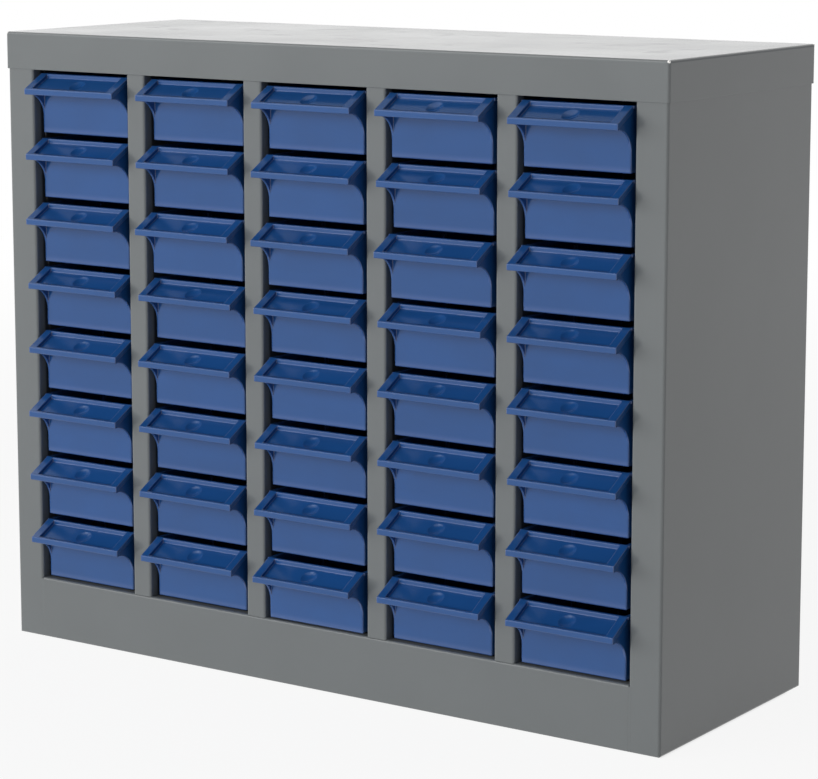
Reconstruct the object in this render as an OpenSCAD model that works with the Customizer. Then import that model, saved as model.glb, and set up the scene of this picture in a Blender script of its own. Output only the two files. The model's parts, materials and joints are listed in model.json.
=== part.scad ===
// Steel parts cabinet with forty moulded bins, in five columns (a to e) of eight (1 at the top).
// X runs across the front, Y from the front to the back, Z up, in millimetres.
// The origin is on the floor, in the middle of the outline with the handles' reach counted in.

/* [Cabinet] */
// Width over the top cap
cabinet_w = 586; // [570:1:620]
// Depth over the top cap, without the handles
cabinet_d = 214; // [210:1:240]
// Height from the floor to the top
cabinet_h = 478; // [460:1:520]
// Height of the top cap's turned-down rim
cap_h = 28.4; // [24:0.1:34]
// Height of the plinth under the drawers
plinth_h = 48; // [36:1:60]
// Width of the corner posts on the front
stile_w = 25; // [20:1:32]
// Width of the posts between two columns
mullion_w = 17; // [14:1:20]
// Thickness of the steel sheet
sheet = 1; // [0.8:0.1:1.2]
// Outside radius of a fold in the sheet
bend = 2; // [1.6:0.1:2.4]

/* [Drawers] */
// Gap behind a bin that is pushed home
rear_gap = 2; // [1.5:0.5:20]
// Thickness of the moulded walls
wall = 1.6; // [1.4:0.1:2]
// Gap between a bin and the post beside it
side_gap = 4.1; // [3.8:0.1:5]
// Gap between a drawer's rim and the shelf or drawer above it
top_gap = 3.1; // [2.6:0.1:4]
// Gap under a bin
bottom_gap = 1.3; // [0.6:0.1:2]
// How far a drawer slides before its stop lugs meet the runners
travel = 150; // [100:5:150]
// How far the handle stands out of the cabinet when a drawer is pushed home
home_reach = 12; // [10:1:14]

/* [Handle] */
// From the handle's lip back to the drawer's face
handle_l = 20; // [17:0.1:21]
// Fall of the handle's rims from the face to the lip
handle_drop = 10.5; // [8:0.5:11]
// Height of the lip at its ends
lip_h = 4.7; // [4:0.1:5.5]
// Width of each rim beside the finger tray
tray_rim = 6.5; // [5:0.1:9]
// Depth of the finger tray at the face
tray_depth = 3.4; // [2.5:0.1:4.5]
// Width of the rim between the finger tray and the lip's front
tray_front_rim = 1.8; // [1.6:0.1:4]
// Radius of the round dimple in the tray
dimple_r = 6.4; // [5:0.1:8]
// Radius of the hollow curve under the handle's sides
wing_r = 18; // [14:0.1:20]

/* [Hidden] */
$fn = 48;
columns = 5;
rows = 8;
COLUMN_NAMES = ["a", "b", "c", "d", "e"];
eps = 0.01;

// How far each drawer was left short of home, by column from the left and then from the top.
SLACK = [
    [1.5, 1.5, 2.5, 1.5, 2, 3.5, 3.5, 3.5],
    [2, 2.5, 4.5, 1.5, 3, 3, 3.5, 3],
    [4, 5, 6, 3, 3, 3, 4.5, 7],
    [6, 4, 7, 2.5, 3, 3, 3.5, 4],
    [6, 4, 5.5, 5, 4.5, 3.5, 5, 5]
];
most_slack = max([for (column = SLACK) max(column)]);

// The cabinet's body fits inside its cap, and stops short of the fold under the cap's top.
body_w = cabinet_w - 2 * sheet;
body_d = cabinet_d - 2 * sheet;
body_h = cabinet_h - bend;
front_y = home_reach + most_slack - (cabinet_d - sheet + home_reach + most_slack) / 2;
inner_d = body_d - 2 * sheet;  // from the front plane to the back panel

// The openings between the posts, and one bay for each drawer.
opening_h = cabinet_h - cap_h - plinth_h;
opening_w = (body_w - 2 * stile_w - (columns - 1) * mullion_w) / columns;
column_pitch = opening_w + mullion_w;
row_pitch = opening_h / rows;
function column_x(c) = (c - (columns - 1) / 2) * column_pitch;
function bay_top(r) = plinth_h + opening_h - r * row_pitch;

// Folded edges of the sheet-metal pieces.
stile_return = 13;
foot_flange = 15;
back_flange = 15;
liner_flange = 12;
mullion_lip = 5;
seam = 0.2;
deck_w = body_w - 2 * stile_w - 2 * seam;

// The bin and the rim that it hangs by.
bin_w = opening_w - 2 * side_gap;
bin_l = inner_d + home_reach - handle_l - rear_gap;
bin_h = row_pitch - top_gap - bottom_gap;
bin_edge_r = 1.2;
rim_t = 1.8;
rim_w = bin_w + 3.4;
lip_w = bin_w + 2;
rib = 1.2;
rib_slot = 2;

// The runners: an angle with a ledge under the rim and a tab that stops the drawer's lugs.
ledge_gap = 0.25;
ledge_inner = bin_w / 2 + 0.5;
ledge_z = bin_h - rim_t - ledge_gap;
runner_h = 10;
runner_front = stile_return + 0.5;
runner_l = inner_d - runner_front - 5;
lug_l = 4;
lug_h = 4.2;
lug_reach = 1.9;
lug_y = handle_l + bin_l - 12;
tab_y = lug_y - home_reach - travel - sheet;

// The handle's side view: the rims and the tray's floor fall to the lip almost in parallel.
tray_t = 1.4;
lip_t = 1.8;
lip_r = 0.8;
lip_top = bin_h - handle_drop;
tray_back = handle_l - 1;
tray_front_depth = 3.2;
floor_back = bin_h - tray_depth;
floor_front = lip_top - tray_front_depth;
floor_angle = atan((floor_back - floor_front) / tray_back);
function floor_z(y) = floor_front + y * tan(floor_angle);
dimple_y = 11.4;
dimple_ball = 14;
dimple_t = 1.4;
wing_inset = 0.6;  // behind the face, so that its corner stays rounded

function drawer_name(c, r) = str("drawer_", COLUMN_NAMES[c], r + 1);

PAINT = [0.46, 0.48, 0.485];
ZINC = [0.62, 0.64, 0.66];
BLUE = [0.22, 0.36, 0.62];

// ---- shapes that repeat ----

// A rectangle with rounded corners, its lower left corner at the origin.
module rounded(w, h, r) {
    translate([r, 0]) square([w - 2 * r, h]);
    translate([0, r]) square([w, h - 2 * r]);
    for (x = [r, w - r], y = [r, h - r]) translate([x, y]) circle(r);
}

// A block rounded on its upright edges and its bottom edges, with a plain top.
module tub_block(w, d, h, r) {
    intersection() {
        linear_extrude(h) rounded(w, d, r);
        rotate([90, 0, 0]) translate([0, 0, -d]) linear_extrude(d) rounded(w, h + 2 * r, r);
        rotate([90, 0, 90]) linear_extrude(w) rounded(d, h + 2 * r, r);
    }
}

// An outline drawn in Y and Z, run along X and centred on it.
module along_x(length) {
    translate([-length / 2, 0, 0]) rotate([90, 0, 90]) linear_extrude(length) children();
}

// A strip of sheet folded once: a foot along the first axis and an upright along the second.
module angle_strip(foot, upright, r) {
    difference() {
        rounded(foot + r, upright + r, r);
        translate([sheet, sheet]) rounded(foot + r, upright + r, r - sheet);
        translate([foot, -eps]) square([2 * r, upright + 2 * r]);
        translate([-eps, upright]) square([foot + 2 * r, 2 * r]);
    }
}

// ---- the steel cabinet ----

// Tray of sheet turned down on all four sides, with a dot of weld where two rims meet.
module top_cap() {
    weld_r = 0.95;
    weld_in = weld_r + 0.05;
    color(PAINT) translate([-cabinet_w / 2, front_y - sheet, cabinet_h]) mirror([0, 0, 1]) {
        difference() {
            tub_block(cabinet_w, cabinet_d, cap_h, bend);
            translate([sheet, sheet, sheet])
                tub_block(cabinet_w - 2 * sheet, cabinet_d - 2 * sheet, cap_h, bend - sheet);
        }
        for (x = [weld_in, cabinet_w - weld_in], y = [weld_in, cabinet_d - weld_in])
            translate([x, y, weld_in]) sphere(weld_r);
    }
}

// Side, front post with its return, back flange and foot flange, folded from one sheet.
module side_panel() {
    difference() {
        tub_block(stile_w, body_d, body_h, bend);
        translate([sheet, sheet, sheet])
            tub_block(stile_w - 2 * sheet, body_d - 2 * sheet, body_h, bend - sheet);
        // open towards the drawers behind the post's return
        translate([back_flange, stile_return, -eps]) cube([stile_w, body_d, body_h + 1]);
        // open underneath, inside the foot flange
        translate([liner_flange, stile_return, -eps])
            cube([stile_w, body_d - stile_return - liner_flange, bend + 1]);
    }
}

module left_side_panel() {
    color(PAINT) translate([-body_w / 2, front_y, 0]) side_panel();
}

module right_side_panel() {
    color(PAINT) mirror([1, 0, 0]) translate([-body_w / 2, front_y, 0]) side_panel();
}

// Flat sheet inside the side panels' back flanges, with its foot turned forwards between theirs.
module back_panel() {
    panel_w = body_w - 2 * bend - 2 * seam;
    foot_w = body_w - 2 * back_flange - 2 * seam;
    color(PAINT) translate([0, front_y + inner_d + sheet, 0]) mirror([0, 1, 0]) difference() {
        along_x(panel_w) angle_strip(liner_flange, body_h - seam, bend);
        for (side = [0, 1]) mirror([side, 0, 0])
            translate([foot_w / 2, -1, -1]) cube([panel_w, liner_flange + 2, bend + seam + 1]);
    }
}

// Shelf under the bottom drawers, folded down at the front into the plinth.
module lower_deck() {
    color(PAINT) translate([0, front_y, 0]) along_x(deck_w) difference() {
        rounded(inner_d, plinth_h, bend);
        translate([sheet, sheet]) rounded(inner_d - 2 * sheet, plinth_h - 2 * sheet, bend - sheet);
        translate([foot_flange, -eps]) square([inner_d, plinth_h - liner_flange]);
    }
}

// Shelf over the top drawers, folded up at the front behind the cap's rim.
module upper_deck() {
    header_h = body_h - bay_top(0) - seam;
    color(PAINT) translate([0, front_y, bay_top(0)]) along_x(deck_w) difference() {
        rounded(inner_d, header_h + bend, bend);
        translate([sheet, sheet]) rounded(inner_d - 2 * sheet, header_h + bend, bend - sheet);
        translate([-eps, header_h]) square([inner_d + 1, 2 * bend]);
    }
}

// Full-depth wall beside an outer column, which carries its runners.
module liner() {
    liner_l = inner_d - stile_return - seam;
    translate([-body_w / 2 + stile_w, front_y + stile_return + seam, bend + seam])
        mirror([1, 0, 0]) linear_extrude(body_h - bend - 2 * seam) difference() {
            rounded(liner_flange + bend, liner_l, bend);
            translate([sheet, sheet])
                rounded(liner_flange + bend, liner_l - 2 * sheet, bend - sheet);
            translate([liner_flange, -eps]) square([2 * bend, liner_l + 1]);
        }
}

module left_liner() {
    color(PAINT) liner();
}

module right_liner() {
    color(PAINT) mirror([1, 0, 0]) liner();
}

// Full-depth channel between two columns, its face flush with the corner posts.
module mullion(n) {
    color(PAINT) translate([column_x(n - 0.5) - mullion_w / 2, front_y, plinth_h])
        linear_extrude(opening_h) difference() {
            rounded(mullion_w, inner_d, bend);
            translate([sheet, sheet])
                rounded(mullion_w - 2 * sheet, inner_d - 2 * sheet, bend - sheet);
            translate([mullion_lip, inner_d - bend - 1])
                square([mullion_w - 2 * mullion_lip, 2 * bend]);
        }
}

// One angle on the right-hand side of a bay, with a ledge turned inwards and its stop tab.
module runner() {
    wall_x = opening_w / 2;
    ledge_w = wall_x - ledge_inner;
    tab_h = lug_h + 1;
    translate([wall_x, runner_front, ledge_z]) rotate([-90, 0, 0]) mirror([1, 0, 0])
        linear_extrude(runner_l) angle_strip(ledge_w, runner_h, max(0.75 * bend, sheet + 0.3));
    translate([ledge_inner + 0.1, tab_y, ledge_z - sheet - tab_h])
        cube([ledge_w - 0.1 - sheet / 2, sheet, tab_h + sheet / 2]);
}

// The sixteen runners of one column.
module runners(c) {
    color(ZINC) for (r = [0:rows - 1])
        translate([column_x(c), front_y, bay_top(r) - top_gap - bin_h])
            for (side = [0, 1]) mirror([side, 0, 0]) runner();
}

// ---- a drawer, from its lip (Y = 0) back and from its underside (Z = 0) up ----

// The open bin with a rim along each side.
module bin() {
    difference() {
        translate([-bin_w / 2, handle_l, 0]) tub_block(bin_w, bin_l, bin_h, bin_edge_r);
        translate([-bin_w / 2 + wall, handle_l + wall, wall])
            tub_block(bin_w - 2 * wall, bin_l - 2 * wall, bin_h, bin_edge_r);
    }
    for (side = [0, 1]) mirror([side, 0, 0]) {
        translate([bin_w / 2 - wall / 2, handle_l, bin_h - rim_t])
            cube([(rim_w - bin_w + wall) / 2, bin_l - bin_edge_r, rim_t]);
        translate([bin_w / 2 - wall / 2, lug_y, ledge_z - sheet - ledge_gap - lug_h])
            cube([wall / 2 + lug_reach, lug_l, lug_h]);
    }
}

// Two pairs of ribs on each side wall, which hold a divider.
module divider_ribs() {
    rib_h = bin_h - wall - 6;
    for (side = [0, 1], third = [1, 2], k = [-1, 1]) mirror([side, 0, 0])
        translate([bin_w / 2 - wall - rib, handle_l + third * bin_l / 3, wall / 2])
            translate([0, k * (rib_slot + rib) / 2 - rib / 2, 0])
                cube([rib + wall / 2, rib, rib_h]);
}

// Sloping finger tray: two rims, a floor, and a lip turned down at the front.
module finger_tray() {
    difference() {
        along_x(lip_w) {
            polygon([
                [lip_r, floor_z(lip_r) - tray_t],
                [handle_l + wall / 2, floor_z(handle_l + wall / 2) - tray_t],
                [handle_l + wall / 2, bin_h],
                [handle_l, bin_h],
                [lip_r, lip_top]
            ]);
            translate([0, lip_top - lip_h]) rounded(lip_t, lip_h, lip_r);
        }
        along_x(lip_w - 2 * tray_rim) polygon([
            [tray_front_rim, floor_z(tray_front_rim)],
            [tray_back, floor_back],
            [tray_back, bin_h + 1],
            [tray_front_rim, bin_h + 1]
        ]);
    }
}

// Plates in line with the bin's sides that carry the tray, cut to a hollow curve underneath.
module wings() {
    wing_y = handle_l + wing_inset - wing_r;
    for (side = [0, 1]) mirror([side, 0, 0])
        translate([bin_w / 2 - wall / 2, 0, 0]) along_x(wall) difference() {
            polygon([
                [lip_t / 2, bin_edge_r + wall],
                [handle_l + wall / 2, bin_edge_r + wall],
                [handle_l + wall / 2, floor_z(handle_l) - tray_t / 2],
                [lip_t / 2, floor_z(lip_t / 2) - tray_t / 2]
            ]);
            translate([wing_y, lip_top - lip_h - wing_r]) circle(wing_r);
            translate([wing_y, bin_edge_r + wall - 1])
                square([wing_r, lip_top - lip_h - wing_r - bin_edge_r - wall + 1]);
        }
}

// The dimple's ball, above the tray's floor and just cutting into it.
module on_floor() {
    translate([0, dimple_y, floor_z(dimple_y)]) rotate([floor_angle, 0, 0]) children();
}

module dimple(r) {
    on_floor() translate([0, 0, sqrt(dimple_ball * dimple_ball - dimple_r * dimple_r)]) sphere(r);
}

// A drawer moulded in one piece.
module drawer_moulding() {
    difference() {
        union() {
            bin();
            divider_ribs();
            finger_tray();
            wings();
            intersection() {
                dimple(dimple_ball + dimple_t);
                on_floor() translate([0, 0, -tray_t - dimple_r])
                    cylinder(r = dimple_r + dimple_t, h = dimple_r + tray_t / 2);
            }
        }
        dimple(dimple_ball);
    }
}

module drawer(c, r) {
    color(BLUE)
        translate([column_x(c), front_y - home_reach - SLACK[c][r], bay_top(r) - top_gap - bin_h])
            drawer_moulding();
}

top_cap();
left_side_panel();
right_side_panel();
back_panel();
lower_deck();
upper_deck();
left_liner();
right_liner();
for (n = [1:columns - 1])
    mullion(n);
for (c = [0:columns - 1])
    runners(c);
for (c = [0:columns - 1], r = [0:rows - 1])
    drawer(c, r);
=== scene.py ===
# %% [markdown]
# # A parts bin cabinet, dressed for its picture
#
# The cabinet is a box of folded and painted steel sheet, with forty blue plastic drawers in five columns and
# eight rows. The solid pieces come in ready made, at their real size in metres, and none of them is moved.
# What is left to do in Blender is what light meets: the paint, the plated runners, the moulded plastic, the
# light itself and the camera. The only pieces that are added are two small welds.
#
# Blender starts with a cube, a lamp and a camera of its own. They go first, because the script makes its
# own, and because the cube would count as a part of the cabinet.

# %% Load the cabinet
import json
import math

import bpy
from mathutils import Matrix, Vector

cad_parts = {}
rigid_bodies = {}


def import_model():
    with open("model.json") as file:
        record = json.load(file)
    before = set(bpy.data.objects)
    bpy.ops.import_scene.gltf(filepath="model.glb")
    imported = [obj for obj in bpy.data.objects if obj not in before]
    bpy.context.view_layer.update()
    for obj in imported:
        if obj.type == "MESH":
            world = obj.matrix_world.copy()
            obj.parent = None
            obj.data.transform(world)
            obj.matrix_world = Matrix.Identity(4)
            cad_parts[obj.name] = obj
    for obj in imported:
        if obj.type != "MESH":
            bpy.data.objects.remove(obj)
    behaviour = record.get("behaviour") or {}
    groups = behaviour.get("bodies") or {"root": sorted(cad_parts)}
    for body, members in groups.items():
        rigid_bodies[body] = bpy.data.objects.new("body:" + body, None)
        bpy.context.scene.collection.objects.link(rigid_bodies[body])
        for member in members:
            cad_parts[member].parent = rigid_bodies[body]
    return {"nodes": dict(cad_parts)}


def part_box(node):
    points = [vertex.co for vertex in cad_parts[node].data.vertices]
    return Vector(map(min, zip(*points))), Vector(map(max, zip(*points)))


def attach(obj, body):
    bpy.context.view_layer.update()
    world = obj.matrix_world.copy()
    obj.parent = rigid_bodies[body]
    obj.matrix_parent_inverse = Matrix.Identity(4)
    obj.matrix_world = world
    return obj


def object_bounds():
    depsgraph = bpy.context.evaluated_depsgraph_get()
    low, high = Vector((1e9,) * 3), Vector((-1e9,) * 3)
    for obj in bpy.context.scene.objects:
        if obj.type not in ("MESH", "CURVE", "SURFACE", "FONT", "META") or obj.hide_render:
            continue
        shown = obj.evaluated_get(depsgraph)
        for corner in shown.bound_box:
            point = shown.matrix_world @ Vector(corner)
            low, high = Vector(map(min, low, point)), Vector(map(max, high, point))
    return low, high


for leftover in list(bpy.data.objects):
    bpy.data.objects.remove(leftover)

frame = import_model()
cad_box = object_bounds()
print("pieces loaded:", len(frame["nodes"]))
print("the box they fill:", [tuple(round(value, 4) for value in corner) for corner in cad_box])

# %% [markdown]
# ## Measure instead of copying numbers
#
# Finishes need a few sizes, such as how far apart the drawers are. They could be typed in again, but then
# a change to the model would leave the finish behind. So they are measured on the loaded pieces.

# %% Read the sizes off the pieces
first_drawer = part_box("drawer_a1")
next_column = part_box("drawer_b1")
next_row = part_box("drawer_a2")
column_pitch = next_column[0].x - first_drawer[0].x
row_pitch = first_drawer[0].z - next_row[0].z
cabinet_low, cabinet_high = cad_box
cabinet_middle = (cabinet_high + cabinet_low) / 2
cap_low, cap_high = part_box("top_cap")
post_low, post_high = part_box("mullion_1")
print("column pitch", round(column_pitch, 4), "row pitch", round(row_pitch, 4))
print("front of the posts at y =", round(post_low.y, 4))

# %% [markdown]
# ## The camera
#
# A long lens from a few cabinet widths away keeps the upright edges almost parallel, which is how a
# catalogue shows furniture of this kind. The camera stands to the right of the cabinet and a little above
# its top. A small vertical shift moves the picture without tilting the camera any further, so the posts
# lean less than they would with tilt alone. The Standard view shows every colour as it was written.

# %% Place the camera
camera_place = Vector((1.2162, -1.7523, 0.6058))
camera_tilt = math.radians(81.18)
camera_turn = math.radians(34.37)
camera_lens = 125.8
camera_shift = -0.1

camera_data = bpy.data.cameras.new("camera")
camera_data.sensor_width = 36.0
camera_data.lens = camera_lens
camera_data.shift_y = camera_shift
camera_data.clip_end = 200.0
camera = bpy.data.objects.new("camera", camera_data)
camera.location = camera_place
camera.rotation_euler = (camera_tilt, 0.0, camera_turn)
bpy.context.scene.collection.objects.link(camera)
bpy.context.scene.camera = camera
bpy.context.scene.view_settings.view_transform = "Standard"
print("camera distance:", round((camera_place - cabinet_middle).length, 3), "m")

# %% [markdown]
# ## Helpers for shader nodes
#
# Every finish below is a small network of nodes. Written out in full, each node takes four or five lines,
# which hides the idea behind it. `feed` puts either a number or another node's output into a socket, and
# the helpers built on it make one node each and hand back its output, so that a network reads like a sum.

# %% Node helpers
def feed(tree, socket, value):
    if isinstance(value, bpy.types.NodeSocket):
        tree.links.new(value, socket)
    else:
        socket.default_value = value


def add_node(tree, kind, **settings):
    made = tree.nodes.new(kind)
    for setting, value in settings.items():
        setattr(made, setting, value)
    return made


print("helpers for nodes are ready")

# %% [markdown]
# ### Sums, ranges and blends
#
# `calc` does one sum, `remap` stretches one range of values over another, and `blend_colour` mixes two
# colours. The Mix node keeps sockets for numbers, vectors and colours under the same names, so the ones for
# colours are picked by their place in the list.

# %% Number and colour helpers
MIX_FIRST_COLOUR = 6
MIX_SECOND_COLOUR = 7
MIX_COLOUR_RESULT = 2


def calc(tree, operation, first, second=0.0, clamp=False):
    made = add_node(tree, "ShaderNodeMath", operation=operation, use_clamp=clamp)
    feed(tree, made.inputs[0], first)
    feed(tree, made.inputs[1], second)
    return made.outputs[0]


def remap(tree, value, low, high, new_low=0.0, new_high=1.0, smooth=False):
    curve = "SMOOTHSTEP" if smooth else "LINEAR"
    made = add_node(tree, "ShaderNodeMapRange", interpolation_type=curve)
    for label, number in (
        ("Value", value), ("From Min", low), ("From Max", high), ("To Min", new_low), ("To Max", new_high)
    ):
        feed(tree, made.inputs[label], number)
    return made.outputs["Result"]


def blend_colour(tree, share, first, second):
    made = add_node(tree, "ShaderNodeMix", data_type="RGBA")
    feed(tree, made.inputs[0], share)
    feed(tree, made.inputs[MIX_FIRST_COLOUR], first)
    feed(tree, made.inputs[MIX_SECOND_COLOUR], second)
    return made.outputs[MIX_COLOUR_RESULT]


print("helpers for numbers and colours are ready")

# %% [markdown]
# ### Places and directions
#
# A place, a direction and a colour are all three numbers in one socket. `work_vector` does sums with them,
# `scale_vector` multiplies all three by one number, and `split_vector` hands them out one by one, as X, Y
# and Z. A distance, a length and a dot product are single numbers, so they leave by a socket of their own.

# %% Vector helpers
SINGLE_NUMBERS = ("DISTANCE", "DOT_PRODUCT", "LENGTH")


def work_vector(tree, operation, first, second=None):
    made = add_node(tree, "ShaderNodeVectorMath", operation=operation)
    feed(tree, made.inputs[0], first)
    if second is not None:
        feed(tree, made.inputs[1], second)
    return made.outputs["Value"] if operation in SINGLE_NUMBERS else made.outputs[0]


def scale_vector(tree, vector, factor):
    made = add_node(tree, "ShaderNodeVectorMath", operation="SCALE")
    feed(tree, made.inputs[0], vector)
    feed(tree, made.inputs["Scale"], factor)
    return made.outputs[0]


def split_vector(tree, vector):
    made = add_node(tree, "ShaderNodeSeparateXYZ")
    feed(tree, made.inputs[0], vector)
    return made.outputs


print("helpers for places and directions are ready")

# %% [markdown]
# ### Noise at a real size
#
# Nearly every effect starts with noise, because real surfaces vary without a pattern. The Noise node draws
# about one patch per unit, so a place in metres is divided by the wanted size first, and a patch comes out
# that many metres across. The place is the object's own, so the pattern stays on a drawer that slides out.
# Nearly all the values lie between 0.3 and 0.7. Both limits are kept, to be spread over a wider range.

# %% Noise helpers
NOISE_LOW = 0.3
NOISE_HIGH = 0.7


def place_on_part(tree):
    return add_node(tree, "ShaderNodeTexCoord").outputs["Object"]


def noise(tree, vector, detail=2.0, roughness=0.5):
    made = add_node(tree, "ShaderNodeTexNoise")
    feed(tree, made.inputs["Vector"], vector)
    feed(tree, made.inputs["Scale"], 1.0)
    feed(tree, made.inputs["Detail"], detail)
    feed(tree, made.inputs["Roughness"], roughness)
    return made.outputs[0]


def sized_noise(tree, size, detail=2.0, roughness=0.5, stretch=None):
    place = scale_vector(tree, place_on_part(tree), calc(tree, "DIVIDE", 1.0, size))
    if stretch is not None:
        place = work_vector(tree, "MULTIPLY", place, stretch)
    return noise(tree, place, detail, roughness)


print("noise runs mostly from", NOISE_LOW, "to", NOISE_HIGH)

# %% [markdown]
# ## Effects as node groups
#
# Paint, plating and plastic share some effects: tone that drifts over a surface, softly rounded edges,
# dust. Each is a node group, which is a small machine with named inputs and outputs that any material can
# use with its own values. `start_group` makes an empty group with its sockets, and `use_group` puts one
# into a material. All sizes are in metres, so a value of 0.1 is a patch 10 cm across.

# %% Group helpers
NUMBER = "NodeSocketFloat"
COLOUR = "NodeSocketColor"
ARROW = "NodeSocketVector"


def start_group(name, inputs, outputs):
    group = bpy.data.node_groups.new(name, "ShaderNodeTree")
    for label, kind, value in inputs:
        socket = group.interface.new_socket(label, in_out="INPUT", socket_type=kind)
        socket.default_value = value
    for label, kind in outputs:
        group.interface.new_socket(label, in_out="OUTPUT", socket_type=kind)
    inlet = group.nodes.new("NodeGroupInput").outputs
    outlet = group.nodes.new("NodeGroupOutput").inputs
    return group, inlet, outlet


def use_group(tree, group, **values):
    made = add_node(tree, "ShaderNodeGroup", node_tree=group)
    for label, value in values.items():
        feed(tree, made.inputs[label.replace("_", " ")], value)
    return made.outputs


print("a group's sockets hold a number, a colour or an arrow")

# %% [markdown]
# ### Cloudy tone
#
# No painted or moulded surface is one flat colour. Powder melts a little thicker here and thinner there,
# and plastic cools unevenly. The group multiplies a colour by slow noise. It also hands out the noise
# itself, so that the same patches can be a touch glossier or duller.

# %% Build cloudy_tone
cloudy_tone, inlet, outlet = start_group(
    "cloudy_tone",
    [("Color", COLOUR, (0.5, 0.5, 0.5, 1.0)), ("Size", NUMBER, 0.1), ("Depth", NUMBER, 0.05)],
    [("Color", COLOUR), ("Mask", NUMBER)],
)
patches = sized_noise(cloudy_tone, inlet["Size"], detail=3.0)
darkest = calc(cloudy_tone, "SUBTRACT", 1.0, inlet["Depth"])
lightest = calc(cloudy_tone, "ADD", 1.0, inlet["Depth"])
tone = remap(cloudy_tone, patches, NOISE_LOW, NOISE_HIGH, darkest, lightest)
feed(cloudy_tone, outlet["Color"], scale_vector(cloudy_tone, inlet["Color"], tone))
feed(cloudy_tone, outlet["Mask"], remap(cloudy_tone, patches, NOISE_LOW, NOISE_HIGH))
print("made the group", cloudy_tone.name)

# %% [markdown]
# ### Soft edges
#
# A perfectly sharp edge never catches the light, and that alone makes a model look computed. Cut sheet has
# a slight burr that the paint rounds off, and a mould has small radii. A bevel modifier could cut them
# into the mesh, but these meshes come from exact solids with very short edges in their arcs, where a bevel
# overlaps itself. The Bevel node bends only the shading across an edge, at any mesh density. Comparing its
# bent normal with the true one also tells where the edges are, which is where paint wears first. The two
# agree fully, at 1, on a flat face, and less the sharper the bend.

# %% Build soft_edges
BEVEL_RAYS = 6
EDGE_STARTS = 0.995
EDGE_FULL = 0.8
WEAR_STARTS = 0.45
WEAR_FULL = 0.65

soft_edges, inlet, outlet = start_group(
    "soft_edges",
    [("Radius", NUMBER, 0.0005), ("Wear Size", NUMBER, 0.01)],
    [("Normal", ARROW), ("Edge", NUMBER), ("Wear", NUMBER)],
)
rounding = add_node(soft_edges, "ShaderNodeBevel", samples=BEVEL_RAYS)
feed(soft_edges, rounding.inputs["Radius"], inlet["Radius"])
true_normal = add_node(soft_edges, "ShaderNodeNewGeometry").outputs["Normal"]
agreement = work_vector(soft_edges, "DOT_PRODUCT", rounding.outputs[0], true_normal)
edge = remap(soft_edges, agreement, EDGE_STARTS, EDGE_FULL)
wear_places = sized_noise(soft_edges, inlet["Wear Size"], detail=3.0)
worn = calc(soft_edges, "MULTIPLY", edge, remap(soft_edges, wear_places, WEAR_STARTS, WEAR_FULL))
feed(soft_edges, outlet["Normal"], rounding.outputs[0])
# The Edge mask also paints a highlight along the plastic's edges.
feed(soft_edges, outlet["Edge"], edge)
feed(soft_edges, outlet["Wear"], worn)
print("made the group", soft_edges.name)

# %% [markdown]
# ### Surface relief
#
# Powder coat has a fine skin like an orange's, about a millimetre from bump to bump and a few microns deep.
# Under it the sheet itself is not flat: between its folds it drifts by a few tenths of a millimetre, which
# shows where a flat face mirrors something bright at a low angle. Faces that small would make a huge mesh,
# so a Bump node only tilts the shading. Both are heights in metres, and a Bump node with a distance of 1
# shows them at their real depth.

# %% Build sheet_relief
sheet_relief, inlet, outlet = start_group(
    "sheet_relief",
    [
        ("Grain Size", NUMBER, 0.001), ("Grain Depth", NUMBER, 0.00001),
        ("Wave Size", NUMBER, 0.1), ("Wave Depth", NUMBER, 0.0002),
    ],
    [("Height", NUMBER)],
)
grain = sized_noise(sheet_relief, inlet["Grain Size"], detail=2.0)
waves = sized_noise(sheet_relief, inlet["Wave Size"], detail=1.0)
grain_height = calc(sheet_relief, "MULTIPLY", grain, inlet["Grain Depth"])
wave_height = calc(sheet_relief, "MULTIPLY", waves, inlet["Wave Depth"])
feed(sheet_relief, outlet["Height"], calc(sheet_relief, "ADD", grain_height, wave_height))
print("made the group", sheet_relief.name)

# %% [markdown]
# ### Settled dust
#
# Dust lies on what faces up. The normal's Z part says how far a surface faces up, and noise makes the film
# uneven. It is thin on a cabinet this new: it lifts the colour slightly and takes some gloss away.

# %% Build settled_dust
DUST_STARTS = 0.4
DUST_FULL = 0.98
THINNEST_FILM = 0.35

settled_dust, inlet, outlet = start_group(
    "settled_dust", [("Amount", NUMBER, 0.2), ("Patch Size", NUMBER, 0.05)], [("Mask", NUMBER)]
)
facing = split_vector(settled_dust, add_node(settled_dust, "ShaderNodeNewGeometry").outputs["Normal"])
faces_up = remap(settled_dust, facing["Z"], DUST_STARTS, DUST_FULL, smooth=True)
film = sized_noise(settled_dust, inlet["Patch Size"], detail=5.0, roughness=0.6)
uneven = remap(settled_dust, film, NOISE_LOW, NOISE_HIGH, THINNEST_FILM, 1.0)
lying = calc(settled_dust, "MULTIPLY", faces_up, uneven)
feed(settled_dust, outlet["Mask"], calc(settled_dust, "MULTIPLY", lying, inlet["Amount"], clamp=True))
print("made the group", settled_dust.name)

# %% [markdown]
# ### Handling marks
#
# Fingers leave thin smears that are a bit duller than what is round them, and hardly change the colour.
# Stretched noise gives streaks, and a steep threshold keeps only the strongest of them. The marks go to
# roughness alone.

# %% Build handling_marks
SMEAR_STRETCH = (1.0, 1.0, 0.45)
SMEAR_STARTS = 0.55
SMEAR_FULL = 0.7

handling_marks, inlet, outlet = start_group(
    "handling_marks", [("Size", NUMBER, 0.02), ("Amount", NUMBER, 1.0)], [("Mask", NUMBER)]
)
streaks = sized_noise(handling_marks, inlet["Size"], detail=4.0, roughness=0.65, stretch=SMEAR_STRETCH)
kept = remap(handling_marks, streaks, SMEAR_STARTS, SMEAR_FULL, smooth=True)
feed(handling_marks, outlet["Mask"], calc(handling_marks, "MULTIPLY", kept, inlet["Amount"], clamp=True))
print("made the group", handling_marks.name)
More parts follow.
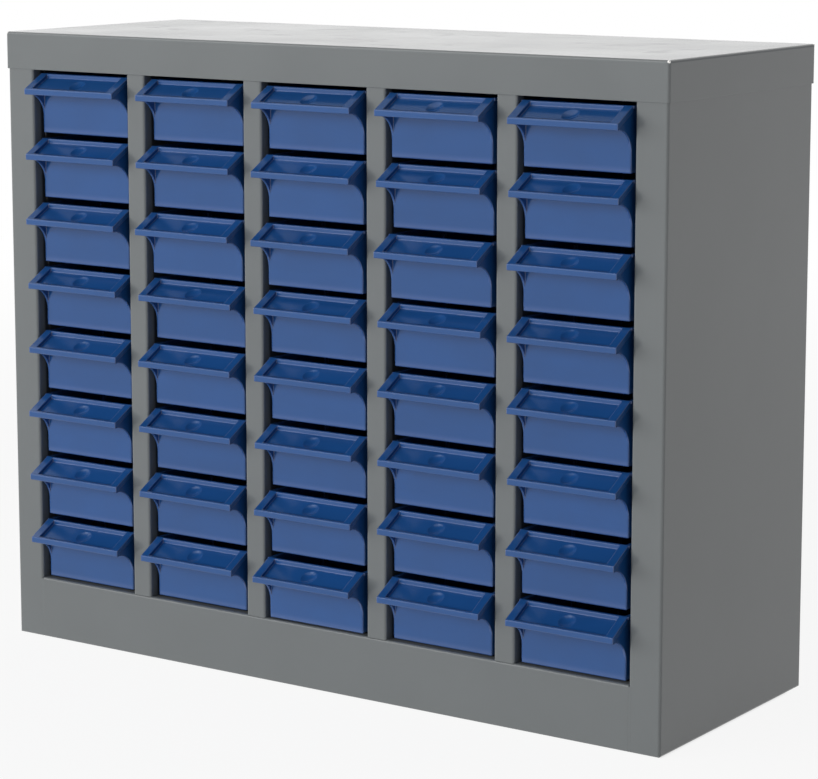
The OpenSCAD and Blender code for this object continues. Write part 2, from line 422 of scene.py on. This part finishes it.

# %% [markdown]
# ### One tone and a lower-edge highlight for each drawer
#
# Forty drawers come out of one mould, but not out of one batch of plastic. Dividing a point's place by the
# pitch of the columns and rows and rounding it down gives every drawer a number of its own, and white noise
# turns that into a tone. The object's own random value would do too, but then the forty drawers could not
# share one material when the model is exported. What the rounding leaves over is the place within one
# drawer. It finds the lower edge, where a lighter line is painted along each drawer as a highlight.

# %% Build drawer_tone
drawer_tone, inlet, outlet = start_group(
    "drawer_tone",
    [("Color", COLOUR, (0.1, 0.2, 0.5, 1.0)), ("Depth", NUMBER, 0.03), ("Scuff Size", NUMBER, 0.005)],
    [("Color", COLOUR), ("Highlight", NUMBER)],
)
from_first = work_vector(drawer_tone, "SUBTRACT", place_on_part(drawer_tone), first_drawer[0])
cells = work_vector(drawer_tone, "MULTIPLY", from_first, (1.0 / column_pitch, 0.0, 1.0 / row_pitch))
white_noise = add_node(drawer_tone, "ShaderNodeTexWhiteNoise", noise_dimensions="3D")
feed(drawer_tone, white_noise.inputs["Vector"], work_vector(drawer_tone, "FLOOR", cells))
darker_or_lighter = remap(drawer_tone, white_noise.outputs["Value"], 0.0, 1.0, -1.0, 1.0)
change = calc(drawer_tone, "MULTIPLY", darker_or_lighter, inlet["Depth"])
factor = calc(drawer_tone, "ADD", 1.0, change)
feed(drawer_tone, outlet["Color"], scale_vector(drawer_tone, inlet["Color"], factor))
# The Highlight mask marks a band along each drawer's lower edge, where a lighter line is painted as a
# highlight.
left_over = split_vector(drawer_tone, work_vector(drawer_tone, "FRACTION", cells))
above_bottom = calc(drawer_tone, "MULTIPLY", left_over["Z"], row_pitch)
feed(drawer_tone, outlet["Highlight"], remap(drawer_tone, above_bottom, inlet["Scuff Size"], 0.0, smooth=True))
print("made the group", drawer_tone.name)

# %% [markdown]
# ### Painted shade in the gaps
#
# A little under a centimetre behind the front, between a post and a drawer, the paint is darkened to near
# black. This is painted shade, standing in for the shadow deep in the narrow gaps. The group marks what lies
# inside the shell and further back than a chosen depth. It only asks where a point is, so the mask stays in
# place when a drawer moves or the cabinet is seen from another side.

# %% Build gap_shade, the painted shade in the gaps
SHELL_MARGIN = 0.012

gap_shade, inlet, outlet = start_group(
    "gap_shade", [("Start", NUMBER, 0.008), ("End", NUMBER, 0.010)], [("Mask", NUMBER)]
)
point = split_vector(gap_shade, place_on_part(gap_shade))
behind_front = calc(gap_shade, "SUBTRACT", point["Y"], post_low.y)
deep = remap(gap_shade, behind_front, inlet["Start"], inlet["End"])
sideways = calc(gap_shade, "ABSOLUTE", point["X"])
between_sides = calc(gap_shade, "LESS_THAN", sideways, cap_high.x - SHELL_MARGIN)
under_cap = calc(gap_shade, "LESS_THAN", point["Z"], cap_low.z + SHELL_MARGIN)
before_back = calc(gap_shade, "LESS_THAN", point["Y"], post_high.y)
inside = calc(gap_shade, "MULTIPLY", calc(gap_shade, "MULTIPLY", between_sides, under_cap), before_back)
feed(gap_shade, outlet["Mask"], calc(gap_shade, "MULTIPLY", deep, inside))
print("made the group", gap_shade.name)

# %% [markdown]
# ### Weld dots
#
# The cap is folded from one sheet, and a dot of weld closes each of its four top corners. The dot is
# dressed flat and left bare, so it needs no shape of its own, only a mask in the paint. The cap is the same
# on both sides and both ends, so taking the absolute value of a point's place folds the four corners into
# one, and one distance finds all the dots.

# %% Build weld_dots
WELD_INSET = 0.001

weld_dots, inlet, outlet = start_group("weld_dots", [("Radius", NUMBER, 0.001)], [("Mask", NUMBER)])
cap_middle = (cap_low + cap_high) / 2
cap_middle.z = 0.0
dot_middle = cap_high - cap_middle - Vector((WELD_INSET, WELD_INSET, WELD_INSET))
from_middle = work_vector(weld_dots, "SUBTRACT", place_on_part(weld_dots), cap_middle)
folded = work_vector(weld_dots, "ABSOLUTE", from_middle)
from_dot = work_vector(weld_dots, "DISTANCE", folded, dot_middle)
feed(weld_dots, outlet["Mask"], calc(weld_dots, "LESS_THAN", from_dot, inlet["Radius"]))
print("made the group", weld_dots.name, "for corners at", tuple(round(value, 3) for value in dot_middle))

# %% [markdown]
# ## Helpers for materials
#
# Every material starts from Blender's Principled BSDF. Its relief goes through a Bump node, on top of the
# normal that the soft edges have bent already. Its roughness starts from one value, and each mask, such as
# dust or smears, adds its own small share.

# %% Material helpers
def start_material(name):
    material = bpy.data.materials.new(name)
    material.use_nodes = True
    tree = material.node_tree
    surface = tree.nodes["Principled BSDF"]
    return material, tree, surface


def add_relief(tree, surface, height, normal):
    bump = add_node(tree, "ShaderNodeBump")
    feed(tree, bump.inputs["Strength"], 1.0)
    feed(tree, bump.inputs["Distance"], 1.0)
    feed(tree, bump.inputs["Height"], height)
    feed(tree, bump.inputs["Normal"], normal)
    feed(tree, surface.inputs["Normal"], bump.outputs["Normal"])


def add_roughness(tree, surface, roughness, masks, shares):
    for mask, share in zip(masks, shares):
        roughness = calc(tree, "ADD", roughness, calc(tree, "MULTIPLY", mask, share))
    feed(tree, surface.inputs["Roughness"], roughness)


print("helpers for materials are ready")

# %% [markdown]
# ## Painted steel
#
# The shell, the posts and the decks are sheet steel with a smooth grey powder coat. It is a plain
# non-metal to a shader, because light meets the paint and not the steel. The Principled BSDF stays in the
# material, and the groups only feed its colour, roughness, metallic share and normal. The coat is glossy
# enough to mirror the pale backdrop at a low angle, which is why the top looks so much lighter than the
# front although both have the same paint. A share says how strongly a mask shows, and the three shares for
# dullness belong to the clouds, the smears and the dust.

# %% Choose the paint's colours and shares
PAINT_GREY = (0.180, 0.194, 0.197, 1.0)
WORN_PAINT = (0.260, 0.272, 0.275, 1.0)
DUST_GREY = (0.420, 0.415, 0.400, 1.0)
BARE_STEEL = (0.780, 0.770, 0.750, 1.0)
# Near black for the painted shade deep in the gaps between posts and drawers.
GAP_SHADE_GREY = (0.030, 0.031, 0.033, 1.0)
PAINT_WEAR_SHARE = 0.4
GAP_SHADE_SHARE = 0.85
PAINT_ROUGHNESS = 0.16
PAINT_DULL_SHARES = (0.05, 0.04, 0.2)
print("paint grey", PAINT_GREY[:3], "roughness from", PAINT_ROUGHNESS)

# %% [markdown]
# ### Layers of the paint
#
# The layers are the grey coat, worn edges, painted shade deep in the gaps, dust, and last the dots of weld.
# A function makes the paint, because it is needed twice. A weld that is ground flush has no edges of its
# own, so its paint is the same with next to no edge radius.

# %% Make the paint
SHEET_EDGE = 0.0005
WELD_EDGE = 0.00002


def make_paint(name, edge_radius):
    material, tree, surface = start_material(name)
    clouds = use_group(tree, cloudy_tone, Color=PAINT_GREY, Size=0.09, Depth=0.03)
    edges = use_group(tree, soft_edges, Radius=edge_radius, Wear_Size=0.012)
    dust = use_group(tree, settled_dust, Amount=0.06, Patch_Size=0.07)["Mask"]
    smears = use_group(tree, handling_marks, Size=0.045, Amount=1.0)["Mask"]
    relief = use_group(
        tree, sheet_relief, Grain_Size=0.0011, Grain_Depth=0.000006, Wave_Size=0.11, Wave_Depth=0.0004
    )
    gap_shade_mask = use_group(tree, gap_shade, Start=0.0075, End=0.0095)["Mask"]
    bare = use_group(tree, weld_dots, Radius=0.00112)["Mask"]
    wear = calc(tree, "MULTIPLY", edges["Wear"], PAINT_WEAR_SHARE)
    colour = blend_colour(tree, wear, clouds["Color"], WORN_PAINT)
    # Painted shade: deep in the gaps the paint is darkened to near black.
    colour = blend_colour(tree, calc(tree, "MULTIPLY", gap_shade_mask, GAP_SHADE_SHARE), colour, GAP_SHADE_GREY)
    colour = blend_colour(tree, dust, colour, DUST_GREY)
    feed(tree, surface.inputs["Base Color"], blend_colour(tree, bare, colour, BARE_STEEL))
    feed(tree, surface.inputs["Metallic"], bare)
    add_roughness(tree, surface, PAINT_ROUGHNESS, (clouds["Mask"], smears, dust), PAINT_DULL_SHARES)
    add_relief(tree, surface, relief["Height"], edges["Normal"])
    return material


painted_steel = make_paint("painted_steel", SHEET_EDGE)
weld_paint = make_paint("weld_paint", WELD_EDGE)
print("made the materials", painted_steel.name, "and", weld_paint.name)

# %% [markdown]
# ## Zinc-plated steel
#
# The runners are bare plated sheet. Zinc sets in crystals that each reflect a little differently, a pattern
# called spangle. A Voronoi texture splits space into such cells, and each cell's random colour becomes a
# small change of brightness and gloss.

# %% Make the plating
ZINC_GREY = (0.36, 0.38, 0.40, 1.0)
SPANGLE_SIZE = 0.006
DARKEST_CRYSTAL = 0.86
LIGHTEST_CRYSTAL = 1.12
GLOSSIEST_CRYSTAL = 0.33
DULLEST_CRYSTAL = 0.45

zinc_steel, tree, surface = start_material("zinc_steel")
spangle = add_node(tree, "ShaderNodeTexVoronoi")
feed(tree, spangle.inputs["Vector"], scale_vector(tree, place_on_part(tree), 1.0 / SPANGLE_SIZE))
feed(tree, spangle.inputs["Scale"], 1.0)
crystal = split_vector(tree, spangle.outputs["Color"])
crystal_tone = remap(tree, crystal["X"], 0.0, 1.0, DARKEST_CRYSTAL, LIGHTEST_CRYSTAL)
crystal_roughness = remap(tree, crystal["Y"], 0.0, 1.0, GLOSSIEST_CRYSTAL, DULLEST_CRYSTAL)
clouds = use_group(tree, cloudy_tone, Color=ZINC_GREY, Size=0.03, Depth=0.06)
edges = use_group(tree, soft_edges, Radius=0.0003, Wear_Size=0.01)
relief = use_group(
    tree, sheet_relief, Grain_Size=0.0008, Grain_Depth=0.000003, Wave_Size=0.03, Wave_Depth=0.00004
)
feed(tree, surface.inputs["Base Color"], scale_vector(tree, clouds["Color"], crystal_tone))
feed(tree, surface.inputs["Metallic"], 1.0)
feed(tree, surface.inputs["Roughness"], crystal_roughness)
add_relief(tree, surface, relief["Height"], edges["Normal"])
print("made the material", zinc_steel.name)

# %% [markdown]
# ## Blue plastic
#
# The drawers are polypropylene, coloured right through. The plastic flows across the mould from the middle
# of the floor, which leaves very faint streaks, longer than they are wide. They could be painted on an
# image, but noise that is stretched by a different factor along each axis needs none.

# %% Colour the plastic
PLASTIC_BLUE = (0.014, 0.086, 0.288, 1.0)
FLOW_STRETCH = (12.0, 40.0, 60.0)
DARKEST_STREAK = 0.965
LIGHTEST_STREAK = 1.035

blue_plastic, tree, surface = start_material("blue_plastic")
batch = use_group(tree, drawer_tone, Color=PLASTIC_BLUE, Depth=0.04, Scuff_Size=0.0055)
clouds = use_group(tree, cloudy_tone, Color=batch["Color"], Size=0.035, Depth=0.035)
flow_place = work_vector(tree, "MULTIPLY", place_on_part(tree), FLOW_STRETCH)
flow = noise(tree, flow_place, detail=3.0, roughness=0.6)
flow_tone = remap(tree, flow, NOISE_LOW, NOISE_HIGH, DARKEST_STREAK, LIGHTEST_STREAK)
streaked = scale_vector(tree, clouds["Color"], flow_tone)
print("plastic blue", PLASTIC_BLUE[:3], "before it is rubbed")

# %% [markdown]
# ### Painted edge highlights, wear and gloss
#
# Every edge is painted paler as a highlight, and a drawer's lower edge most evenly. In worn places real
# rubbing adds to it. The drawers are moulded against a polished tool, so they are rather glossy, and the
# same three masks as on the paint make them duller in places.

# %% Paint the edge highlights and the wear, and finish the plastic
# Edges are lightened towards this blue as a painted highlight, and further where they are really worn.
WEAR_AND_HIGHLIGHT_BLUE = (0.150, 0.215, 0.450, 1.0)
PLASTIC_WEAR_SHARE = 0.6
WEAR_AND_HIGHLIGHT_SHARE = 0.70
LOWER_HIGHLIGHT_SHARE = 0.35
PLASTIC_ROUGHNESS = 0.15
PLASTIC_DULL_SHARES = (0.04, 0.03, 0.5)

edges = use_group(tree, soft_edges, Radius=0.0013, Wear_Size=0.03)
dust = use_group(tree, settled_dust, Amount=0.003, Patch_Size=0.02)["Mask"]
smears = use_group(tree, handling_marks, Size=0.016, Amount=1.0)["Mask"]
relief = use_group(
    tree, sheet_relief, Grain_Size=0.0005, Grain_Depth=0.000003, Wave_Size=0.03, Wave_Depth=0.00008
)
# A painted highlight on every edge, plus real wear in worn places, plus a painted highlight along the lower
# edge.
wear_and_highlight = calc(tree, "ADD", edges["Edge"], calc(tree, "MULTIPLY", edges["Wear"], PLASTIC_WEAR_SHARE))
wear_and_highlight = calc(tree, "MULTIPLY", wear_and_highlight, WEAR_AND_HIGHLIGHT_SHARE)
wear_and_highlight = calc(tree, "MAXIMUM", wear_and_highlight, calc(tree, "MULTIPLY", batch["Highlight"], LOWER_HIGHLIGHT_SHARE))
worn_and_highlighted = blend_colour(tree, wear_and_highlight, streaked, WEAR_AND_HIGHLIGHT_BLUE)
feed(tree, surface.inputs["Base Color"], blend_colour(tree, dust, worn_and_highlighted, DUST_GREY))
add_roughness(tree, surface, PLASTIC_ROUGHNESS, (clouds["Mask"], smears, dust), PLASTIC_DULL_SHARES)
add_relief(tree, surface, relief["Height"], edges["Normal"])
print("made the material", blue_plastic.name)

# %% [markdown]
# ## Dress the pieces
#
# The pieces come in with plain colours, and a piece's name says what it is. So the name decides the finish:
# a drawer is plastic, runners are plated, and all the rest is painted. Only what is in the material slots
# changes. The meshes and their places stay as they are.

# %% Give every piece its finish
def finish_of(name):
    if name.startswith("drawer"):
        return blue_plastic
    if name.startswith("runners"):
        return zinc_steel
    return painted_steel


dressed = {}
for piece_name, piece in frame["nodes"].items():
    finish = finish_of(piece_name)
    for material_slot in piece.material_slots:
        material_slot.material = finish
    dressed[finish.name] = dressed.get(finish.name, 0) + 1
print("pieces in each finish:", dressed)

# %% [markdown]
# ## Dressed welds beside the plinth
#
# The plinth is welded to the two corner posts, and the welds are ground flush before painting, so the joint
# hardly shows. The sheets alone leave a groove there, because a post's edge is a round fold and the plinth's
# end is cut square. A cube would stick out of that groove. So the weld is drawn as the groove's own
# cross-section, with one side along the arc of the fold.

# %% Draw the groove's cross-section
BEND_RADIUS = 0.002
SHEET_THICKNESS = 0.001
ARC_STEPS = 8

plinth_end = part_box("lower_deck")[1].x
corner_post_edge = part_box("right_side_panel")[0].x


def groove_outline():
    arc_x = corner_post_edge + BEND_RADIUS
    arc_y = post_low.y + BEND_RADIUS
    last_angle = math.acos(1.0 - SHEET_THICKNESS / BEND_RADIUS)
    angles = [last_angle * step / ARC_STEPS for step in range(ARC_STEPS + 1)]
    along_fold = [(arc_x - BEND_RADIUS * math.sin(a), arc_y - BEND_RADIUS * math.cos(a)) for a in angles]
    return [(plinth_end, post_low.y)] + along_fold + [(plinth_end, post_low.y + SHEET_THICKNESS)]


print("points round the right groove:", len(groove_outline()))

# %% [markdown]
# ### Pull the outline up
#
# The outline is set down twice, at the weld's bottom and at its top. Walls join the two, and each end gets a
# lid. The left weld is a mirror image, so its outline runs the other way round to keep its faces looking
# outward. Both welds ride on the cabinet, and they get the weld paint, which is the shell's paint with next
# to no edge radius.

# %% Fill the two grooves
weld_bottom = BEND_RADIUS / 2
weld_top = post_low.z - BEND_RADIUS / 2


def make_weld(name, side):
    ring = [(side * x, y) for x, y in groove_outline()][::side]
    count = len(ring)
    corners = [(x, y, z) for z in (weld_bottom, weld_top) for x, y in ring]
    walls = [(i, (i + 1) % count, count + (i + 1) % count, count + i) for i in range(count)]
    ends = [tuple(reversed(range(count))), tuple(range(count, 2 * count))]
    mesh = bpy.data.meshes.new(name)
    mesh.from_pydata(corners, [], walls + ends)
    mesh.materials.append(weld_paint)
    weld = bpy.data.objects.new(name, mesh)
    bpy.context.scene.collection.objects.link(weld)
    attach(weld, "cabinet")
    return weld


for weld_name, side in (("plinth_weld_left", -1), ("plinth_weld_right", 1)):
    weld = make_weld(weld_name, side)
    print(weld.name, "from", weld_bottom, "to", round(weld_top, 4), "m, faces:", len(weld.data.polygons))

# %% [markdown]
# ## The floor
#
# The cabinet stands on a plain floor that runs on past the horizon. The camera should see it almost white,
# and yet it must not throw that much light back at the cabinet. So this step gives the floor a plain pale
# paint, and the next one lifts only what the camera and the mirrors see of it.

# %% Lay the floor
FLOOR_REACH = 60.0
FLOOR_PALE = (0.90, 0.90, 0.90, 1.0)
FLOOR_ROUGHNESS = 0.9
FLOOR_SHINE = 0.1

floor_mesh = bpy.data.meshes.new("floor")
floor_corners = [(x * FLOOR_REACH, y * FLOOR_REACH, 0.0) for x, y in ((-1, -1), (1, -1), (1, 1), (-1, 1))]
floor_mesh.from_pydata(floor_corners, [], [(0, 1, 2, 3)])
floor = bpy.data.objects.new("floor", floor_mesh)
bpy.context.scene.collection.objects.link(floor)

floor_paint, floor_tree, floor_surface = start_material("floor_paint")
feed(floor_tree, floor_surface.inputs["Base Color"], FLOOR_PALE)
feed(floor_tree, floor_surface.inputs["Roughness"], FLOOR_ROUGHNESS)
feed(floor_tree, floor_surface.inputs["Specular IOR Level"], FLOOR_SHINE)
floor_mesh.materials.append(floor_paint)
print("floor", 2 * FLOOR_REACH, "m across")

# %% [markdown]
# ### What kind of ray has arrived
#
# The Light Path node tells a shader how the ray that reached it began. So rays from the camera, from
# mirrors and through glass can see one shader, and the soft light that bounces about can see another. A Mix
# Shader shows the first, the second, or some of both. The floor and the backdrop both need this, so it is
# made into helpers.

# %% Ray helpers
def seen_by_camera(tree):
    return add_node(tree, "ShaderNodeLightPath").outputs["Is Camera Ray"]


def seen_by_camera_or_mirror(tree):
    rays = add_node(tree, "ShaderNodeLightPath").outputs
    either = calc(tree, "MAXIMUM", rays["Is Camera Ray"], rays["Is Glossy Ray"])
    return calc(tree, "MAXIMUM", either, rays["Is Transmission Ray"])


def show_mix(tree, share, first, second, output_name):
    mixer = add_node(tree, "ShaderNodeMixShader")
    feed(tree, mixer.inputs[0], share)
    feed(tree, mixer.inputs[1], first.outputs[0])
    feed(tree, mixer.inputs[2], second.outputs[0])
    feed(tree, tree.nodes[output_name].inputs["Surface"], mixer.outputs[0])


print("helpers for rays are ready")

# %% [markdown]
# ### The glow in the floor
#
# Rays from the camera and from mirrors see a mix of the paint and a white glow, and the soft light that
# bounces up to the cabinet comes from the paint alone. Near the cabinet the mix leaves room for the shadow.
# Further out it fades to plain white, so that the floor meets the backdrop without a line. Under the
# cabinet there is no glow, or it would shine out of the seams. The handles stand about 2 cm in front of the
# plinth, so in front the open floor starts that much nearer to the cabinet's middle. Absolute values treat
# left and right, and front and back, alike.

# %% Make the floor glow for the camera
FLOOR_WHITE = (1.0, 1.0, 1.0, 1.0)
FLOOR_IN_MIRRORS = 1.12
FLOOR_LIFT = 0.90
FADE_FROM = 0.6
FADE_TO = 2.6
GLOW_EDGE = 0.01
HANDLE_REACH = 0.02

floor_glow = add_node(floor_tree, "ShaderNodeEmission")
glow_strength = remap(floor_tree, seen_by_camera(floor_tree), 0.0, 1.0, FLOOR_IN_MIRRORS, 1.0)
feed(floor_tree, floor_glow.inputs["Color"], FLOOR_WHITE)
feed(floor_tree, floor_glow.inputs["Strength"], glow_strength)
spot = split_vector(floor_tree, place_on_part(floor_tree))
plinth_reach = cabinet_high.y - HANDLE_REACH
beside = remap(
    floor_tree, calc(floor_tree, "ABSOLUTE", spot["X"]), cabinet_high.x - GLOW_EDGE, cabinet_high.x
)
ahead = remap(floor_tree, calc(floor_tree, "ABSOLUTE", spot["Y"]), plinth_reach - GLOW_EDGE, plinth_reach)
open_floor = calc(floor_tree, "MAXIMUM", beside, ahead)
far_out = work_vector(floor_tree, "LENGTH", place_on_part(floor_tree))
fade = remap(floor_tree, far_out, FADE_FROM, FADE_TO, FLOOR_LIFT, 1.0, smooth=True)
clear_and_seen = calc(floor_tree, "MULTIPLY", seen_by_camera_or_mirror(floor_tree), open_floor)
glow_share = calc(floor_tree, "MULTIPLY", clear_and_seen, fade)
show_mix(floor_tree, glow_share, floor_surface, floor_glow, "Material Output")
print("the floor turns plain white from", FADE_FROM, "to", FADE_TO, "m out")

# %% [markdown]
# ## The dome
#
# Two lights are enough for a studio look: a dome that fills the shadows, and one large lamp that models the
# form. On the front they come to about one, the level at which a colour is shown as it was written. The
# dome is the world's background. It is dimmer overhead and to the right, so that the front gets more of its
# light than the top and the right side.

# %% Build the dome
DOME_LIGHT = (0.98, 0.99, 1.0, 1.0)
DOME_STRENGTH = 0.60
DOME_TOP_SHARE = 0.35
DOME_RIGHT_SHARE = 0.62
DOME_DIMS_FROM_X = -0.3
DOME_DIMS_TO_X = 0.5

world = bpy.data.worlds.new("studio")
bpy.context.scene.world = world
world.use_nodes = True
world_tree = world.node_tree
dome = world_tree.nodes["Background"]
ray_direction = add_node(world_tree, "ShaderNodeTexCoord").outputs["Generated"]
direction = split_vector(world_tree, ray_direction)
strength_overhead = DOME_STRENGTH * DOME_TOP_SHARE
upward = remap(world_tree, direction["Z"], 0.0, 1.0, DOME_STRENGTH, strength_overhead)
rightward = remap(
    world_tree, direction["X"], DOME_DIMS_FROM_X, DOME_DIMS_TO_X, 1.0, DOME_RIGHT_SHARE, smooth=True
)
feed(world_tree, dome.inputs["Color"], DOME_LIGHT)
feed(world_tree, dome.inputs["Strength"], calc(world_tree, "MULTIPLY", upward, rightward))
print("dome strength", DOME_STRENGTH, "at the horizon and", round(strength_overhead, 3), "overhead")

# %% [markdown]
# ## What the camera and the gloss see
#
# What the camera sees of the world is plain white. Glossy paint and plastic mirror that white too, but
# dimmer on the right, a little brighter behind, and with two soft boxes on the left. Each soft box is a
# round patch of brighter sky, and the angle between a ray and the patch's middle says how far inside it is.
# They put soft highlights on the rims and dimples, and add no light of their own to the dull parts. Real
# lamps could do it too, but they would light everything else as well.

# %% Build the backdrop and its soft boxes
WALL_WHITE = (1.0, 1.0, 1.0, 1.0)
WALL_DIM = (0.40, 0.40, 0.42, 1.0)
WALL_DIMS_FROM_X = -0.1
WALL_DIMS_TO_X = 0.6
BACKDROP_GAIN = 0.20
BACKDROP_FULL_AT_Y = 0.5
SOFTBOX_GAIN = 2.0
# For each box: the way to its middle, the angle where it ends, and the angle where it is fully bright.
SOFTBOXES = (
    (Vector((-0.55, -0.70, 0.62)), math.radians(24.0), math.radians(12.0)),
    (Vector((-1.00, -0.15, -0.10)), math.radians(26.0), math.radians(14.0)),
)

wall = add_node(world_tree, "ShaderNodeBackground")
mirrors_only = calc(world_tree, "SUBTRACT", 1.0, seen_by_camera(world_tree))
on_the_right = remap(world_tree, direction["X"], WALL_DIMS_FROM_X, WALL_DIMS_TO_X, smooth=True)
dimmed = calc(world_tree, "MULTIPLY", on_the_right, mirrors_only)
feed(world_tree, wall.inputs["Color"], blend_colour(world_tree, dimmed, WALL_WHITE, WALL_DIM))
gain = remap(world_tree, direction["Y"], 0.0, BACKDROP_FULL_AT_Y, 0.0, BACKDROP_GAIN, smooth=True)
for box_middle, end_angle, bright_angle in SOFTBOXES:
    nearness = work_vector(world_tree, "DOT_PRODUCT", ray_direction, box_middle.normalized())
    box_gain = remap(
        world_tree, nearness, math.cos(end_angle), math.cos(bright_angle), 0.0, SOFTBOX_GAIN, smooth=True
    )
    gain = calc(world_tree, "ADD", gain, box_gain)
mirror_gain = calc(world_tree, "MULTIPLY", gain, mirrors_only)
feed(world_tree, wall.inputs["Strength"], calc(world_tree, "ADD", 1.0, mirror_gain))
show_mix(world_tree, seen_by_camera_or_mirror(world_tree), dome, wall, "World Output")
print("soft boxes for gloss:", len(SOFTBOXES))

# %% [markdown]
# ## The lamp
#
# One large lamp, in front of the cabinet and to its left, models the form. It is an area lamp, because a
# large lamp makes soft shadows and a small one makes hard ones. It is 5 m wide and 1.8 m high, so that its
# lower edge stays clear of the floor. Its light falls off with the square of the distance, so its power is
# worked out from the light wanted at the cabinet. It is hidden from the gloss, which has the soft boxes.

# %% Hang the lamp
LAMP_DISTANCE = 4.0
LAMP_WIDTH = 5.0
LAMP_HEIGHT = 1.8
LAMP_LEVEL = 2.08
LAMP_FROM = Vector((-0.47, -0.86, 0.22))

lamp_data = bpy.data.lights.new("lamp", "AREA")
lamp_data.shape = "RECTANGLE"
lamp_data.size = LAMP_WIDTH
lamp_data.size_y = LAMP_HEIGHT
lamp_data.energy = LAMP_LEVEL * math.pi * LAMP_DISTANCE ** 2
lamp = bpy.data.objects.new("lamp", lamp_data)
lamp.location = cabinet_middle + LAMP_FROM.normalized() * LAMP_DISTANCE
lamp.rotation_euler = LAMP_FROM.to_track_quat("Z", "Y").to_euler()
lamp.visible_camera = False
lamp.visible_glossy = False
bpy.context.scene.collection.objects.link(lamp)
print("lamp at", tuple(round(value, 2) for value in lamp.location), "power", round(lamp_data.energy, 1), "W")
